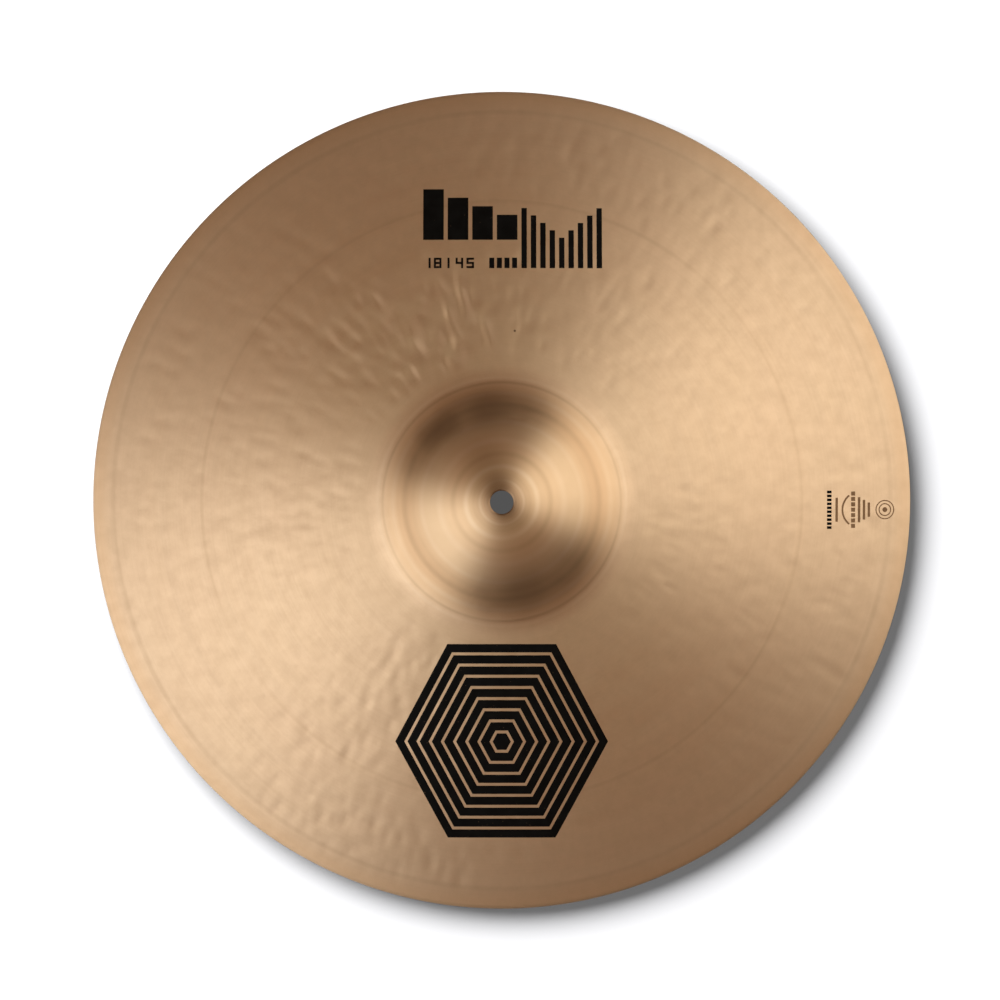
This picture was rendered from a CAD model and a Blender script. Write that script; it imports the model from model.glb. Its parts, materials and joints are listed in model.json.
"""The looks of an 18 in crash cymbal: hammered, lathed bronze with printed ink marks, on a white table."""

import json
import math

import bmesh
import bpy
import numpy as np
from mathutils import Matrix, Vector


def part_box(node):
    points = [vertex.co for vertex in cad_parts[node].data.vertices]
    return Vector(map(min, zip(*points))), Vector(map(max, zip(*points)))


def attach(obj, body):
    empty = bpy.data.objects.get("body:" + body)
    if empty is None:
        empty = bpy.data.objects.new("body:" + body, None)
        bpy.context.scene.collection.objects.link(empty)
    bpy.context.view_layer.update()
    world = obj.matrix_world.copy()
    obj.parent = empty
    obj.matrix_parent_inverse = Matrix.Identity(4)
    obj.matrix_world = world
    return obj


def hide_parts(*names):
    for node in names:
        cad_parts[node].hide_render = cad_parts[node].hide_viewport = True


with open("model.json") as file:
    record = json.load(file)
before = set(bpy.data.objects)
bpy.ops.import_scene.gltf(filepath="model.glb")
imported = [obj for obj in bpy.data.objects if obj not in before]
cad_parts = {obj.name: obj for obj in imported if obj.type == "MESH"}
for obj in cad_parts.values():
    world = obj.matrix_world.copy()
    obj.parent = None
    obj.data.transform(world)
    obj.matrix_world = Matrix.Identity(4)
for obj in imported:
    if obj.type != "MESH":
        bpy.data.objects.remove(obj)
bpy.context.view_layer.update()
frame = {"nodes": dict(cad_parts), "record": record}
MM = 0.001
BODY = "root"

# The plate's outline. The upper face falls outwards at these slopes, in degrees from level.
RIM_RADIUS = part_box("cymbal_plate")[1].x
HOLE_RADIUS = frame["record"]["mounts"][0]["dims"]["r_mm"] * MM
BELL_RADIUS = 76 * MM
FLANK_RADIUS = 53 * MM
FLANK_SLOPE, BOW_INNER_SLOPE, BOW_OUTER_SLOPE = 28.0, 5.0, 13.0
CROWN_THICKNESS, FLANK_THICKNESS, FOOT_THICKNESS, EDGE_THICKNESS = 1.30 * MM, 1.15 * MM, 1.08 * MM, 0.68 * MM
HOLE_CHAMFER = 0.20 * MM
LIP_WIDTH, LIP_DROP = 1.8 * MM, 0.35 * MM  # the punched hole draws the metal down a little round itself
EDGE_CHAMFER = 0.15 * MM
LAND_WIDTH = 0.80 * MM
INK_THICKNESS = 0.045 * MM

# How fine the meshes are: the step along the radius, and the points round the axis
LIP_STEP = 0.4 * MM
BELL_STEP = 1.6 * MM
FOOT_STEP = BELL_STEP / 1.5
UPPER_STEP = 2.1 * MM
LOWER_STEP = 6.2 * MM
LOWER_FOOT_STEP = 1.2 * MM
LOWER_BELL_STEP = 2.4 * MM
INK_STEP = 2.0 * MM
CROWN_POINTS, BELL_POINTS, BOW_POINTS = 180, 360, 720
CROWN_RADIUS = 28 * MM  # the bell has CROWN_POINTS inside this radius, and BELL_POINTS outside it
RING_FLANK = 1.2  # where a lathe ring's flank needs a row of points, in half-widths of the ring
RIM_ROUNDING = (0.30, 0.35)  # how far in and down the rim's extra row lies, in edge chamfers
SHARP_ANGLE = math.radians(40)  # edges past this angle are drawn sharp
WELD = 0.001 * MM
FACES_UP = 0.7  # the least z of the normal of a print's upper faces


# ---------------------------------------------------------------- the plate's outline

def direction(slope):
    """The unit normal, as (r, z), of a surface that falls outwards at that slope."""
    return math.sin(math.radians(slope)), math.cos(math.radians(slope))


class OutlineArc:
    """One arc of the upper outline, in (r, z). bend is 1 on a convex arc, and -1 on a hollow one."""

    def __init__(self, centre, radius, bend, reach, thicknesses):
        self.centre = centre
        self.radius = radius
        self.bend = bend
        self.reach = reach
        self.thicknesses = thicknesses

    def height(self, r):
        """The upper face's height at radius r."""
        return self.centre[1] + self.bend * np.sqrt(self.radius**2 - (r - self.centre[0]) ** 2)

    def under(self, r):
        """The point of the lower face that lies square under radius r, as (r, z)."""
        share = (r - self.reach[0]) / (self.reach[1] - self.reach[0])
        depth = self.thicknesses[0] + (self.thicknesses[1] - self.thicknesses[0]) * share
        slope_r = self.bend * (r - self.centre[0]) / self.radius
        return r - depth * slope_r, self.height(r) - depth * math.sqrt(1 - slope_r**2)


def plate_arcs():
    """The dome, the foot and the bow, worked out from the rim inwards, each tangent to the next."""
    land_inner = RIM_RADIUS - EDGE_CHAMFER - LAND_WIDTH
    outer_r, outer_z = direction(BOW_OUTER_SLOPE)
    inner_r, inner_z = direction(BOW_INNER_SLOPE)
    edge_r = land_inner + EDGE_THICKNESS * outer_r
    bow_radius = (edge_r - BELL_RADIUS) / (outer_r - inner_r)
    bow_centre = (edge_r - bow_radius * outer_r, EDGE_THICKNESS * outer_z - bow_radius * outer_z)
    bow = OutlineArc(bow_centre, bow_radius, 1, (BELL_RADIUS, edge_r), (FOOT_THICKNESS, EDGE_THICKNESS))

    flank_r, flank_z = direction(FLANK_SLOPE)
    foot_radius = (BELL_RADIUS - FLANK_RADIUS) / (flank_r - inner_r)
    foot_centre = (BELL_RADIUS + foot_radius * inner_r, bow.height(BELL_RADIUS) + foot_radius * inner_z)
    foot = OutlineArc(
        foot_centre, foot_radius, -1, (FLANK_RADIUS, BELL_RADIUS), (FLANK_THICKNESS, FOOT_THICKNESS)
    )

    dome_radius = FLANK_RADIUS / flank_r
    dome_centre = (0.0, foot.height(FLANK_RADIUS) - dome_radius * flank_z)
    crown = HOLE_RADIUS + HOLE_CHAMFER
    dome = OutlineArc(dome_centre, dome_radius, 1, (crown, FLANK_RADIUS), (CROWN_THICKNESS, FLANK_THICKNESS))
    return dome, foot, bow


DOME, FOOT, BOW = plate_arcs()


def arc_at(r):
    """The arc that carries radius r."""
    return DOME if r < FLANK_RADIUS else FOOT if r < BELL_RADIUS else BOW


# ---------------------------------------------------------------- what hammer and lathe leave

# Where the hammer struck: the azimuth and its spread in degrees, the radius and its spread in mm, the number
# of blows, and the deepest one in mm.
HAMMERED = (
    (106, 11, 108, 20, 360, 0.11),
    (128, 8, 108, 20, 280, 0.085),
    (126, 12, 150, 26, 260, 0.06),
    (188, 9, 116, 28, 300, 0.055),
    (232, 9, 150, 34, 420, 0.05),
    (252, 10, 120, 26, 160, 0.06),
    (294, 12, 112, 20, 140, 0.05),
    (4, 8, 104, 18, 150, 0.06),
    (70, 12, 110, 22, 90, 0.05),
    (105, 22, 200, 12, 260, 0.08),
    (180, 22, 196, 14, 200, 0.03),
    (232, 16, 204, 12, 200, 0.09),
    (300, 24, 196, 14, 200, 0.05),
    (14, 24, 194, 16, 260, 0.07),
    (180, 180, 150, 42, 1800, 0.04),
)
BLOW_SIZE = (1.5 * MM, 2.4 * MM)  # half a dent's width, from its middle to its steepest part
BLOW_STRETCH = 1.5  # a dent's length along the radius over its width
SHALLOWEST = 0.2  # the lightest blow's depth over the deepest one's
BLOW_REACH = 3  # where a dent has run out, in half-widths
BELL_MARGIN, RIM_MARGIN = 4 * MM, 12 * MM  # the bell's foot and the rim have no dents this near
LATHE_RINGS = (  # radius, half-width and height of the rings that stand out from the fine turning
    (9.4 * MM, 0.6 * MM, -0.02 * MM),
    (12.0 * MM, 0.7 * MM, -0.015 * MM),
    (17.5 * MM, 0.8 * MM, -0.02 * MM),
    (26.5 * MM, 0.8 * MM, -0.03 * MM),
    (56.2 * MM, 0.7 * MM, 0.02 * MM),
    (61.5 * MM, 0.7 * MM, -0.03 * MM),
    (65.2 * MM, 0.7 * MM, 0.03 * MM),
    (67.4 * MM, 0.8 * MM, -0.03 * MM),
    (166.5 * MM, 1.3 * MM, -0.012 * MM),
    (217.0 * MM, 1.6 * MM, -0.015 * MM),
)
RNG = np.random.default_rng(18)


def hammer_blows():
    """Every dent as a row of x, y, azimuth, spread and depth."""
    rows = []
    for azimuth, azimuth_spread, radius, radius_spread, count, deepest in HAMMERED:
        angle = np.radians(RNG.normal(azimuth, azimuth_spread, count))
        reach = RNG.normal(radius, radius_spread, count) * MM
        keep = (reach > BELL_RADIUS + BELL_MARGIN) & (reach < RIM_RADIUS - RIM_MARGIN)
        size = RNG.uniform(*BLOW_SIZE, count)
        depth = RNG.uniform(SHALLOWEST, 1.0, count) * deepest * MM
        rows.append(np.stack([reach * np.cos(angle), reach * np.sin(angle), angle, size, depth], 1)[keep])
    return np.concatenate(rows)


BLOWS = hammer_blows()


def dents(x, y):
    """How far the hammer moved the plate at each of these places. Upper and lower face move together."""
    moved = np.zeros(len(x))
    for bx, by, angle, size, depth in BLOWS:
        reach = BLOW_REACH * size * BLOW_STRETCH
        struck = (abs(x - bx) < reach) & (abs(y - by) < reach)
        dx, dy = x[struck] - bx, y[struck] - by
        along = (dx * math.cos(angle) + dy * math.sin(angle)) / (size * BLOW_STRETCH)
        across = (dy * math.cos(angle) - dx * math.sin(angle)) / size
        moved[struck] -= depth * np.exp(-(along**2 + across**2) / 2)
    return moved


def turned(r):
    """How far the lathe's rings stand out of the upper face at each of these radii."""
    raised = np.zeros(len(r))
    for radius, half_width, height in LATHE_RINGS:
        raised += height * np.exp(-(((r - radius) / half_width) ** 2))
    return raised


def lip(r):
    """How far the face is drawn down round the hole at radius r."""
    return LIP_DROP * np.clip(1 - (r - HOLE_RADIUS) / LIP_WIDTH, 0, 1) ** 2


def upper_face(x, y):
    """The finished upper face's height at each of these places."""
    r = np.hypot(x, y)
    plain = np.array([arc_at(each).height(each) for each in r])
    return plain + turned(r) + dents(x, y)


# ---------------------------------------------------------------- meshes

def stations(first, last, step, extra=()):
    """Radii from first to last, about a step apart, with these extra ones among them."""
    plain = np.linspace(first, last, max(2, round(abs(last - first) / step) + 1))
    marks = [r for r in extra if min(first, last) < r < max(first, last)]
    clear = step / 4
    kept = [r for r in plain if all(abs(r - m) > clear for m in marks) or r in (first, last)]
    return sorted(kept + marks, reverse=first > last)


def ring_marks():
    """The radii that a lathe ring needs to keep its shape."""
    sides = -RING_FLANK, 0, RING_FLANK
    return [radius + side * half_width for radius, half_width, _ in LATHE_RINGS for side in sides]


def plate_outline():
    """The closed outline as rows of r, z, whether the lathe's rings show there, and points around."""
    rows = []
    marks = ring_marks()
    for first, last, step, around in (
        (HOLE_RADIUS + HOLE_CHAMFER, HOLE_RADIUS + LIP_WIDTH, LIP_STEP, CROWN_POINTS),
        (HOLE_RADIUS + LIP_WIDTH, CROWN_RADIUS, BELL_STEP, CROWN_POINTS),
        (CROWN_RADIUS, FLANK_RADIUS, BELL_STEP, BELL_POINTS),
        (FLANK_RADIUS, BELL_RADIUS, FOOT_STEP, BELL_POINTS),
        (BELL_RADIUS, RIM_RADIUS - EDGE_CHAMFER, UPPER_STEP, BOW_POINTS),
    ):
        for r in stations(first, last, step, marks)[:-1]:
            rows.append((r, arc_at(r).height(r), 1, around))
    rim_r = RIM_RADIUS - EDGE_CHAMFER
    rim_z = BOW.height(rim_r)
    inward, down = (EDGE_CHAMFER * share for share in RIM_ROUNDING)
    rows.append((rim_r, rim_z, 1, BOW_POINTS))
    rows.append((RIM_RADIUS - inward, rim_z - down, 0, BOW_POINTS))
    rows.append((RIM_RADIUS, rim_z - EDGE_CHAMFER, 0, BOW_POINTS))
    rows.append((RIM_RADIUS, EDGE_CHAMFER, 0, BOW_POINTS))
    rows.append((RIM_RADIUS - EDGE_CHAMFER, 0, 0, BOW_POINTS))
    for arc, step, around in (
        (BOW, LOWER_STEP, BELL_POINTS),
        (FOOT, LOWER_FOOT_STEP, BELL_POINTS),
        (DOME, LOWER_BELL_STEP, CROWN_POINTS),
    ):
        radii = stations(arc.reach[1], arc.reach[0], step)
        for r in radii if arc is DOME else radii[:-1]:
            under_r, under_z = arc.under(r)
            rows.append((under_r, under_z, 0, around))
    under_z = rows[-1][1]
    rows.append((HOLE_RADIUS, under_z + HOLE_CHAMFER, 0, CROWN_POINTS))
    rows.append((HOLE_RADIUS, rows[0][1] - lip(rows[0][0]) - HOLE_CHAMFER, 0, CROWN_POINTS))
    return rows


def strip(a, b, around_a, around_b):
    """The faces between two rings, given their first vertices. One may have twice the other's points."""
    faces = []
    if around_a == around_b:
        for i in range(around_a):
            j = (i + 1) % around_a
            faces.append((a + i, b + i, b + j, a + j))
    elif around_b == 2 * around_a:
        for i in range(around_a):
            j, k = (i + 1) % around_a, 2 * i
            far = (k + 2) % around_b
            faces += [(a + i, b + k, b + k + 1), (a + i, b + k + 1, a + j), (a + j, b + k + 1, b + far)]
    else:
        for i in range(around_b):
            j, k = (i + 1) % around_b, 2 * i
            far = (k + 2) % around_a
            faces += [(b + i, a + k + 1, a + k), (b + i, b + j, a + k + 1), (b + j, a + far, a + k + 1)]
    return faces


def new_object(name, vertices, faces, material):
    """An object in the scene with this mesh and material."""
    mesh = bpy.data.meshes.new(name)
    mesh.from_pydata(vertices, [], faces)
    mesh.validate()
    mesh.shade_smooth()
    mesh.materials.append(material)
    piece = bpy.data.objects.new(name, mesh)
    bpy.context.scene.collection.objects.link(piece)
    return piece


def hammered_plate(material):
    """The whole plate as one closed mesh, turned about its axis and then dented by the hammer."""
    rows = plate_outline()
    points, starts = [], []
    count = 0
    for r, z, lathed, around in rows:
        angle = np.arange(around) * 2 * math.pi / around
        starts.append(count)
        count += around
        height = np.full(around, z)
        if lathed:
            height += turned(np.full(around, r)) - lip(r)
        points.append(np.stack([r * np.cos(angle), r * np.sin(angle), height], 1))
    points = np.concatenate(points)
    points[:, 2] += dents(points[:, 0], points[:, 1])
    faces = []
    for i, row in enumerate(rows):
        after = (i + 1) % len(rows)
        faces += strip(starts[i], starts[after], row[3], rows[after][3])
    piece = new_object("hammered_plate", points.tolist(), faces, material)
    piece.data.set_sharp_from_angle(angle=SHARP_ANGLE)
    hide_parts("cymbal_plate")
    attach(piece, BODY)


def ink_marks(node, material):
    """The marks of one print, cut finely enough to follow the hammered face that they lie on."""
    bm = bmesh.new()
    bm.from_mesh(frame["nodes"][node].data)
    bm.normal_update()
    bmesh.ops.delete(bm, geom=[f for f in bm.faces if f.normal.z < FACES_UP], context="FACES")
    bmesh.ops.remove_doubles(bm, verts=bm.verts, dist=WELD)
    low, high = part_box(node)
    for axis in (0, 1):
        normal = Vector((1, 0, 0)) if axis == 0 else Vector((0, 1, 0))
        for cut in np.arange(low[axis] + INK_STEP / 2, high[axis], INK_STEP):
            bmesh.ops.bisect_plane(
                bm, geom=bm.verts[:] + bm.edges[:] + bm.faces[:], plane_co=normal * cut, plane_no=normal
            )
    sides = bmesh.ops.extrude_face_region(bm, geom=bm.faces[:])
    raised = {v for v in sides["geom"] if isinstance(v, bmesh.types.BMVert)}
    bm.verts.ensure_lookup_table()
    points = np.array([v.co for v in bm.verts])
    height = upper_face(points[:, 0], points[:, 1])
    for v, z in zip(bm.verts, height):
        v.co.z = z + (INK_THICKNESS if v in raised else -INK_THICKNESS / 2)
    bmesh.ops.recalc_face_normals(bm, faces=bm.faces)
    mesh = bpy.data.meshes.new(node + "_film")
    bm.to_mesh(mesh)
    bm.free()
    mesh.materials.append(material)
    mesh.shade_smooth()
    mesh.set_sharp_from_angle(angle=SHARP_ANGLE)
    piece = bpy.data.objects.new(node + "_film", mesh)
    bpy.context.scene.collection.objects.link(piece)
    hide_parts(node)
    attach(piece, BODY)


# ---------------------------------------------------------------- materials

BRONZE = (0.71, 0.49, 0.30, 1)  # the whole plate, with the tones below mixed in
BRONZE_PALE = (0.78, 0.56, 0.36, 1)
BRONZE_ROSE = (0.77, 0.53, 0.34, 1)
BRONZE_DARK = (0.42, 0.26, 0.14, 1)
BRONZE_BRIGHT = (0.92, 0.72, 0.50, 1)
BRONZE_BELL = (0.71, 0.48, 0.28, 1)
BRONZE_FLANK = (0.70, 0.43, 0.235, 1)
BRONZE_CROWN = (0.38, 0.22, 0.13, 1)
BRONZE_SMUDGE = (0.28, 0.16, 0.085, 1)
BRONZE_STAIN = (0.22, 0.13, 0.07, 1)
BRONZE_EDGE = (0.72, 0.44, 0.23, 1)
PIT_COLOUR = (0.10, 0.06, 0.035, 1)

# Where a tone comes or goes: from this radius to that one, and its share at each
BELL_FADE = (60 * MM, 72 * MM, 0.9, 0.0)
CROWN_FADE = (7 * MM, 20 * MM, 0.65, 0.0)
STAIN_FADE = (6.5 * MM, 10.5 * MM, 0.6, 0.0)
EDGE_FADE = (217 * MM, 226 * MM, 0.0, 0.30)
PIT_FADE = (0.4 * MM, 0.8 * MM, 0.9, 0.0)  # from the middle of the pit
FLANK_MIDDLE, FLANK_HALF_WIDTH = 53 * MM, 14 * MM

FINE_PITCH, BROAD_PITCH = 0.9 * MM, 6.0 * MM  # the widths of the lathe's turns
CLOUD_SCALE, MOTTLE_SCALE = 22.0, 130.0  # patches of tarnish, and small ones, per metre
ROUGHNESS = 0.376
ANISOTROPY = 0.56
RADIAL = 0.25  # a quarter turn, so that highlights are drawn out along the radius
ROUGHER_RIM = (140 * MM, 215 * MM, 0.0, 0.04)  # from this radius to that one, and what is added at each
SMOOTH_FLANK_MIDDLE, SMOOTH_FLANK_HALF_WIDTH, SMOOTH_FLANK = 52 * MM, 14 * MM, 0.035
GROOVE_DEPTH, INK_GROOVE_DEPTH = 0.10 * MM, 0.05 * MM

DARK_RINGS = (  # radius, half-width and strength
    (9.4 * MM, 0.9 * MM, 0.4),
    (15.5 * MM, 1.6 * MM, 0.12),
    (26.6 * MM, 2.6 * MM, 0.28),
    (48.5 * MM, 2.0 * MM, 0.10),
    (53.5 * MM, 2.6 * MM, 0.24),
    (65.6 * MM, 1.3 * MM, 0.30),
    (166.5 * MM, 1.9 * MM, 0.16),
    (217.0 * MM, 2.4 * MM, 0.18),
)
PALE_RINGS = (
    (12.0 * MM, 1.4 * MM, 0.20),
    (19.5 * MM, 2.4 * MM, 0.34),
    (34.0 * MM, 3.0 * MM, 0.16),
    (44.0 * MM, 2.2 * MM, 0.12),
    (59.8 * MM, 2.4 * MM, 0.14),
    (68.4 * MM, 1.8 * MM, 0.16),
)
SMUDGES = (  # azimuth, radius, reach and strength of the tarnished patches on the bell
    (126, 52 * MM, 13 * MM, 0.45),
    (137, 53 * MM, 13 * MM, 0.50),
    (98, 52 * MM, 18 * MM, 0.38),
    (284, 50 * MM, 20 * MM, 0.28),
    (102, 9 * MM, 10 * MM, 0.60),
    (112, 20 * MM, 20 * MM, 0.38),
)
BLACK_INK, BLACK_INK_WORN = (0.004, 0.0035, 0.003, 1), (0.008, 0.007, 0.006, 1)
BROWN_INK, BROWN_INK_WORN = (0.28, 0.155, 0.075, 1), (0.38, 0.22, 0.11, 1)
INK_SPECK = (0.25, 0.16, 0.09, 1)  # the bronze that shows through where the ink is thinnest
INK_CLOUD_SCALE, INK_SPECK_SCALE = 160.0, 900.0
PIT = (7.2 * MM, 94.2 * MM, float(BOW.height(94.5 * MM)))  # a tiny flaw in the casting


class Nodes:
    """A short way to write the nodes of a material or a world."""

    def __init__(self, owner):
        owner.use_nodes = True
        self.owner = owner
        self.tree = owner.node_tree

    def add(self, kind, inputs=None, **settings):
        node = self.tree.nodes.new("ShaderNode" + kind)
        for key, value in settings.items():
            setattr(node, key, value)
        for key, value in (inputs or {}).items():
            self.put(node.inputs[key], value)
        return node

    def put(self, socket, value):
        if isinstance(value, bpy.types.NodeSocket):
            self.tree.links.new(value, socket)
        else:
            socket.default_value = value

    def math(self, operation, a, b=0.0):
        return self.add("Math", {0: a, 1: b}, operation=operation).outputs[0]

    def scale(self, value, low, high, to_low=0.0, to_high=1.0, smooth=False):
        kind = "SMOOTHSTEP" if smooth else "LINEAR"
        inputs = {"Value": value, "From Min": low, "From Max": high, "To Min": to_low, "To Max": to_high}
        return self.add("MapRange", inputs, interpolation_type=kind).outputs[0]

    def noise(self, place, scale, detail, roughness=0.5):
        inputs = {"Vector": place, "Scale": scale, "Detail": detail, "Roughness": roughness}
        return self.add("TexNoise", inputs).outputs["Fac"]

    def distance(self, place, middle):
        return self.add("VectorMath", {0: place, 1: middle}, operation="DISTANCE").outputs["Value"]

    def mix(self, share, a, b):
        """A colour between a and b."""
        inputs = {"Factor": share, "A": a, "B": b}
        node = self.add("Mix", data_type="RGBA")
        for key, value in inputs.items():
            sockets = [s for s in node.inputs if s.name == key and s.enabled]
            self.put(sockets[0], value)
        return next(s for s in node.outputs if s.enabled)

    def shade(self, **values):
        """Sets the sockets of the material's own shader."""
        shader = self.tree.nodes["Principled BSDF"]
        for key, value in values.items():
            self.put(shader.inputs[key.replace("_", " ")], value)


def material(name):
    """The nodes of a new material."""
    return Nodes(bpy.data.materials.new(name))


def radius_of(n):
    """The place, its distance from the cymbal's axis, and the way out to it as a unit vector."""
    place = n.add("TexCoord").outputs["Object"]
    flat = n.add("VectorMath", {0: place, 1: (1, 1, 0)}, operation="MULTIPLY").outputs[0]
    radius = n.add("VectorMath", {0: flat}, operation="LENGTH").outputs["Value"]
    round_it = n.add("VectorMath", {0: flat}, operation="NORMALIZE").outputs[0]
    return place, radius, round_it


def turning(n, radius, round_it, pitch, drift=1.2, detail=3.0):
    """Noise drawn out along the lathe's turns, one turn about a pitch wide."""
    lift = n.add("CombineXYZ", {"Z": n.math("MULTIPLY", radius, 1 / pitch)}).outputs[0]
    wide = n.add("VectorMath", {0: round_it, "Scale": drift}, operation="SCALE").outputs[0]
    place = n.add("VectorMath", {0: wide, 1: lift}, operation="ADD").outputs[0]
    return n.noise(place, 1.0, detail)


def near(n, radius, at, half_width):
    """1 on that radius, falling to 0 at half_width from it."""
    off = n.math("ABSOLUTE", n.math("SUBTRACT", radius, at))
    return n.scale(off, 0, half_width, 1, 0, smooth=True)


def bronze():
    """Lathed tin bronze: warm metal whose fine turned grooves draw every highlight out towards the rim."""
    n = material("lathed_bronze")
    place, radius, round_it = radius_of(n)
    fine = turning(n, radius, round_it, FINE_PITCH, drift=2.0)
    broad = turning(n, radius, round_it, BROAD_PITCH, drift=0.8, detail=4.0)
    cloud = n.noise(place, CLOUD_SCALE, detail=4.0, roughness=0.55)
    mottle = n.noise(place, MOTTLE_SCALE, detail=3.0, roughness=0.6)

    # Every noise lies about 0.5. A scale says where it starts and stops counting, and what it gives there.
    colour = n.mix(n.scale(broad, 0.3, 0.7, 0.38, 0.62), BRONZE, BRONZE_PALE)
    colour = n.mix(n.scale(cloud, 0.35, 0.7, 0, 0.35), colour, BRONZE_ROSE)
    colour = n.mix(n.scale(fine, 0.35, 0.65, 0.0, 0.04), colour, BRONZE_DARK)
    colour = n.mix(n.scale(mottle, 0.35, 0.65, 0.0, 0.12), colour, BRONZE_DARK)
    colour = n.mix(n.scale(radius, *BELL_FADE, smooth=True), colour, BRONZE_BELL)
    colour = n.mix(near(n, radius, FLANK_MIDDLE, FLANK_HALF_WIDTH), colour, BRONZE_FLANK)
    colour = n.mix(n.scale(radius, *CROWN_FADE, smooth=True), colour, BRONZE_CROWN)
    colour = n.mix(n.scale(radius, *EDGE_FADE, smooth=True), colour, BRONZE_EDGE)
    colour = n.mix(n.scale(radius, *STAIN_FADE, smooth=True), colour, BRONZE_STAIN)
    for rings, tone in ((DARK_RINGS, BRONZE_DARK), (PALE_RINGS, BRONZE_BRIGHT)):
        for at, half_width, strength in rings:
            worn = n.scale(cloud, 0.35, 0.55, 0.6 * strength, strength)
            line = n.math("MULTIPLY", near(n, radius, at, half_width), worn)
            colour = n.mix(line, colour, tone)
    for azimuth, at, reach, strength in SMUDGES:
        angle = math.radians(azimuth)
        middle = (at * math.cos(angle), at * math.sin(angle), float(DOME.height(at)))
        patch = n.scale(n.distance(place, middle), 0.1 * reach, reach, strength, 0.0, smooth=True)
        colour = n.mix(patch, colour, BRONZE_SMUDGE)
    colour = n.mix(n.scale(n.distance(place, PIT), *PIT_FADE), colour, PIT_COLOUR)

    rough = n.scale(mottle, 0.3, 0.7, ROUGHNESS - 0.015, ROUGHNESS + 0.015)
    rough = n.math("ADD", rough, n.scale(broad, 0.3, 0.7, -0.008, 0.008))
    rough = n.math("ADD", rough, n.scale(fine, 0.3, 0.7, -0.012, 0.012))
    rough = n.math("ADD", rough, n.scale(radius, *ROUGHER_RIM))
    flank = near(n, radius, SMOOTH_FLANK_MIDDLE, SMOOTH_FLANK_HALF_WIDTH)
    rough = n.math("SUBTRACT", rough, n.math("MULTIPLY", flank, SMOOTH_FLANK))
    grooves = n.math("ADD", n.math("MULTIPLY", fine, 0.8), n.math("MULTIPLY", broad, 0.2))
    bump = n.add("Bump", {"Strength": 0.20, "Distance": GROOVE_DEPTH, "Height": grooves}).outputs[0]
    tangent = n.add("Tangent", direction_type="RADIAL", axis="Z").outputs[0]
    n.shade(Base_Color=colour, Metallic=1.0, Roughness=rough, Normal=bump, Tangent=tangent)
    n.shade(Anisotropic=ANISOTROPY, Anisotropic_Rotation=RADIAL)
    return n.owner


def ink(name, colour, worn):
    """Screen-printed ink: an even satin film, thin in places, over the turned metal's faint lines."""
    n = material(name)
    place, radius, round_it = radius_of(n)
    fine = turning(n, radius, round_it, FINE_PITCH, drift=2.0)
    cloud = n.noise(place, INK_CLOUD_SCALE, detail=3.0)
    speck = n.noise(place, INK_SPECK_SCALE, detail=1.0)
    tone = n.mix(n.scale(cloud, 0.4, 0.7, 0, 0.5), colour, worn)
    tone = n.mix(n.scale(speck, 0.76, 0.80, 0, 0.4), tone, INK_SPECK)
    bump = n.add("Bump", {"Strength": 0.2, "Distance": INK_GROOVE_DEPTH, "Height": fine}).outputs[0]
    n.shade(Base_Color=tone, Roughness=n.scale(cloud, 0.3, 0.7, 0.32, 0.42), Normal=bump)
    n.shade(Specular_IOR_Level=0.05)
    return n.owner


# ---------------------------------------------------------------- studio

PAPER_WHITE = (1.0, 1.0, 1.0, 1)
ROOM = (  # the sine of the elevation, and the room's colour there
    (-0.02, (0.45, 0.45, 0.45)),
    (0.00, (0.55, 0.52, 0.48)),
    (0.12, (0.50, 0.47, 0.43)),
    (0.32, (0.08, 0.07, 0.06)),
    (0.47, (0.03, 0.025, 0.02)),
    (0.71, (0.052, 0.044, 0.034)),
    (0.90, (0.26, 0.08, 0.02)),
    (1.00, (0.19, 0.20, 0.12)),
)
PANELS = (  # azimuth, where the sides start and stop fading, where the foot fades in, and the colour
    (17.6, (6, 51), 0.20, 0.56, (1.46, 1.51, 1.48)),
    (209.5, (5, 50), 0.25, 0.66, (1.52, 1.65, 1.75)),
    (160.0, (5, 40), 0.25, 0.66, (0.11, 0.09, 0.07)),
)
PANEL_TOP = (0.985, 0.9985)  # the panels leave a gap overhead

TABLE_HALF = 12.0  # half the table's width, in metres
TABLE_TONES = (0.050, 0.050, 0.051, 1), (0.053, 0.053, 0.054, 1)  # dark, so that its shadow is dark too
TABLE_GLOW = 0.085  # lifts the darkest shadow to grey
LAMP_STRENGTH, LAMP_SPREAD = 90.0, math.radians(60)
LAMP_FROM = (-1, 1, math.sqrt(2))  # the upper left, halfway up
SHADE_HEIGHT, SHADE_RADIUS = 14 * MM, RIM_RADIUS + 1.5 * MM
SHADE_POINTS = 180

LENS, SENSOR = 100.0, 36.0  # both in mm
FRAME_WIDTH = 559.8 * MM  # how much the camera sees at the rim's height
CAMERA_LEAN = math.radians(0.86)
CAMERA_AIM = Vector((-0.95 * MM, 0.6 * MM, 0))  # what the middle of the frame shows


def panel(n, heading, height, azimuth, reach, low, high, colour):
    """The glow of one tall soft panel that leans in over the cymbal from that azimuth.

    reach is how far its sides fade, in degrees of azimuth; low and high are the sines of the elevations
    between which its foot fades in.
    """
    a = math.radians(azimuth)
    facing = n.add(
        "VectorMath", {0: heading, 1: (math.cos(a), math.sin(a), 0)}, operation="DOT_PRODUCT"
    ).outputs["Value"]
    full, none = (math.cos(math.radians(r)) for r in reach)
    wide = n.scale(facing, none, full, smooth=True)
    tall = n.scale(height, low, high, smooth=True)
    over = n.scale(height, *PANEL_TOP, 1.0, 0.0, smooth=True)
    glow = n.math("MULTIPLY", n.math("MULTIPLY", wide, tall), over)
    return n.add("VectorMath", {0: colour, "Scale": glow}, operation="SCALE").outputs[0]


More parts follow.
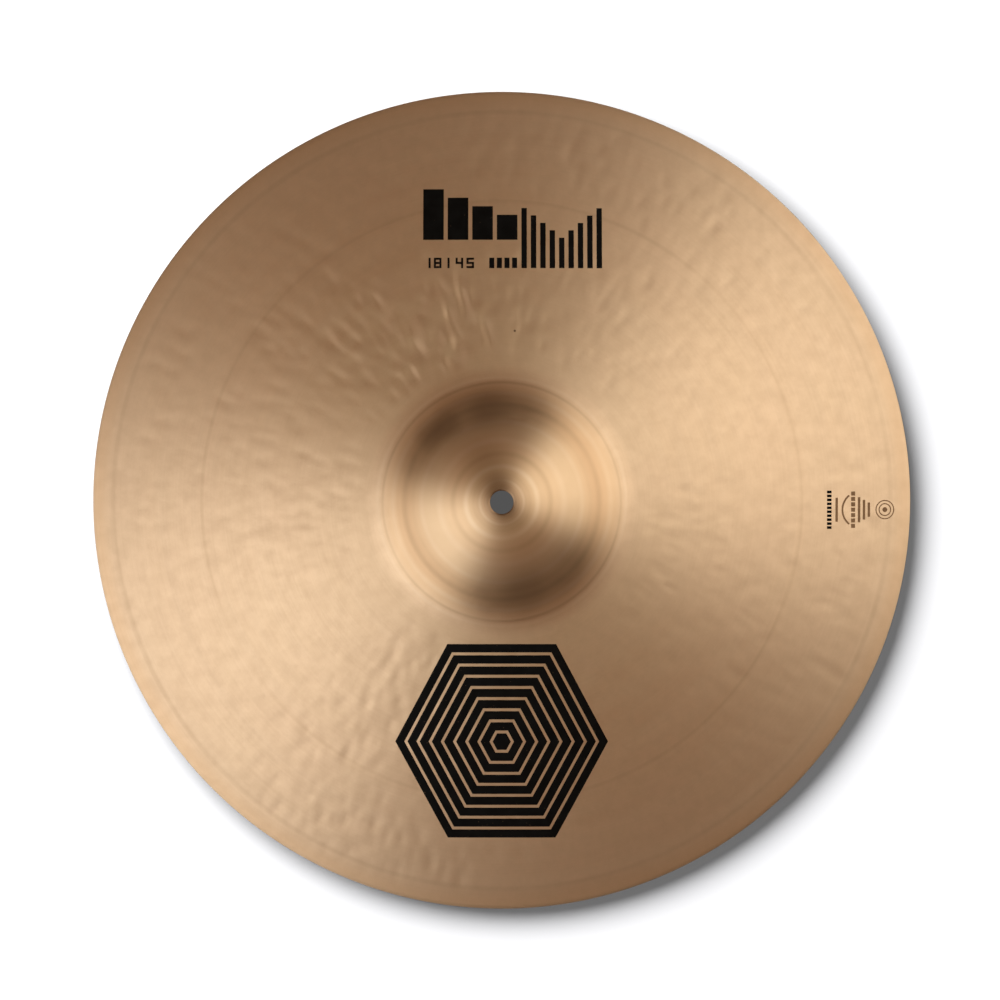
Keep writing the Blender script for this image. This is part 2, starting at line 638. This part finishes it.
def surroundings():
    """What the metal mirrors: a dim room with a pale horizon, two tall soft panels and a faint third."""
    n = Nodes(bpy.data.worlds.new("studio"))
    bpy.context.scene.world = n.owner
    n.owner.cycles.sampling_method = "NONE"  # otherwise the hidden lamp_shade would block its light
    seen_way = n.add("TexCoord").outputs["Generated"]
    height = n.add("SeparateXYZ", {0: seen_way}).outputs["Z"]
    flat = n.add("VectorMath", {0: seen_way, 1: (1, 1, 0)}, operation="MULTIPLY").outputs[0]
    heading = n.add("VectorMath", {0: flat}, operation="NORMALIZE").outputs[0]
    ramp = n.add("ValToRGB", {0: n.scale(height, -1, 1)})
    stops = ramp.color_ramp.elements
    while len(stops) < len(ROOM):
        stops.new(1.0)
    for stop, (sine, colour) in zip(stops, ROOM):
        stop.position = (sine + 1) / 2
        stop.color = (*colour, 1)
    light = ramp.outputs[0]
    for azimuth, reach, low, high, colour in PANELS:
        glow = panel(n, heading, height, azimuth, reach, low, high, colour)
        light = n.add("VectorMath", {0: light, 1: glow}, operation="ADD").outputs[0]
    by_camera = n.add("LightPath").outputs["Is Camera Ray"]
    n.put(n.tree.nodes["Background"].inputs["Color"], n.mix(by_camera, light, PAPER_WHITE))


def floor():
    """A plain table that a lamp of its own lights up to white."""
    n = material("table_paint")
    place = n.add("TexCoord").outputs["Object"]
    grain = n.noise(place, 3.0, detail=2.0)
    n.shade(Base_Color=n.mix(grain, *TABLE_TONES), Roughness=0.9)
    n.shade(Specular_IOR_Level=0.0, Emission_Color=PAPER_WHITE, Emission_Strength=TABLE_GLOW)
    corners = [(x * TABLE_HALF, y * TABLE_HALF, 0) for x, y in ((-1, -1), (1, -1), (1, 1), (-1, 1))]
    table = new_object("table_top", corners, [(0, 1, 2, 3)], n.owner)
    table_lamp(table)


def table_lamp(table):
    """A soft lamp for the table alone, and a hidden disc, a little above the rim, that casts the shadow."""
    bpy.ops.mesh.primitive_circle_add(
        vertices=SHADE_POINTS, radius=SHADE_RADIUS, fill_type="NGON", location=(0, 0, SHADE_HEIGHT)
    )
    shade = bpy.context.object
    shade.name = "lamp_shade"
    shade.visible_camera = shade.visible_glossy = shade.visible_diffuse = shade.visible_transmission = False
    data = bpy.data.lights.new("table_lamp", "SUN")
    data.energy = LAMP_STRENGTH
    data.angle = LAMP_SPREAD
    lamp = bpy.data.objects.new("table_lamp", data)
    lamp.rotation_euler = Vector(LAMP_FROM).to_track_quat("Z", "Y").to_euler()
    lit = bpy.data.collections.new("table_only")
    lit.objects.link(table)
    lamp.light_linking.receiver_collection = lit
    bpy.context.scene.collection.objects.link(lamp)


def camera():
    """Straight above, a touch towards +Y, with a long lens."""
    data = bpy.data.cameras.new("camera")
    data.lens = LENS
    data.sensor_width = SENSOR
    distance = FRAME_WIDTH * LENS / SENSOR
    eye = bpy.data.objects.new("camera", data)
    eye.location = CAMERA_AIM + Vector((0, math.sin(CAMERA_LEAN), math.cos(CAMERA_LEAN))) * distance
    eye.rotation_euler = (-CAMERA_LEAN, 0, 0)
    bpy.context.scene.collection.objects.link(eye)
    bpy.context.scene.camera = eye


def main():
    scene = bpy.context.scene
    scene.view_settings.view_transform = "Standard"
    hammered_plate(bronze())
    black = ink("black_ink", BLACK_INK, BLACK_INK_WORN)
    brown = ink("brown_ink", BROWN_INK, BROWN_INK_WORN)
    for node in ("emblem_print", "name_print", "size_print", "serial_print"):
        ink_marks(node, black)
    ink_marks("seal_print", brown)
    surroundings()
    floor()
    camera()


main()
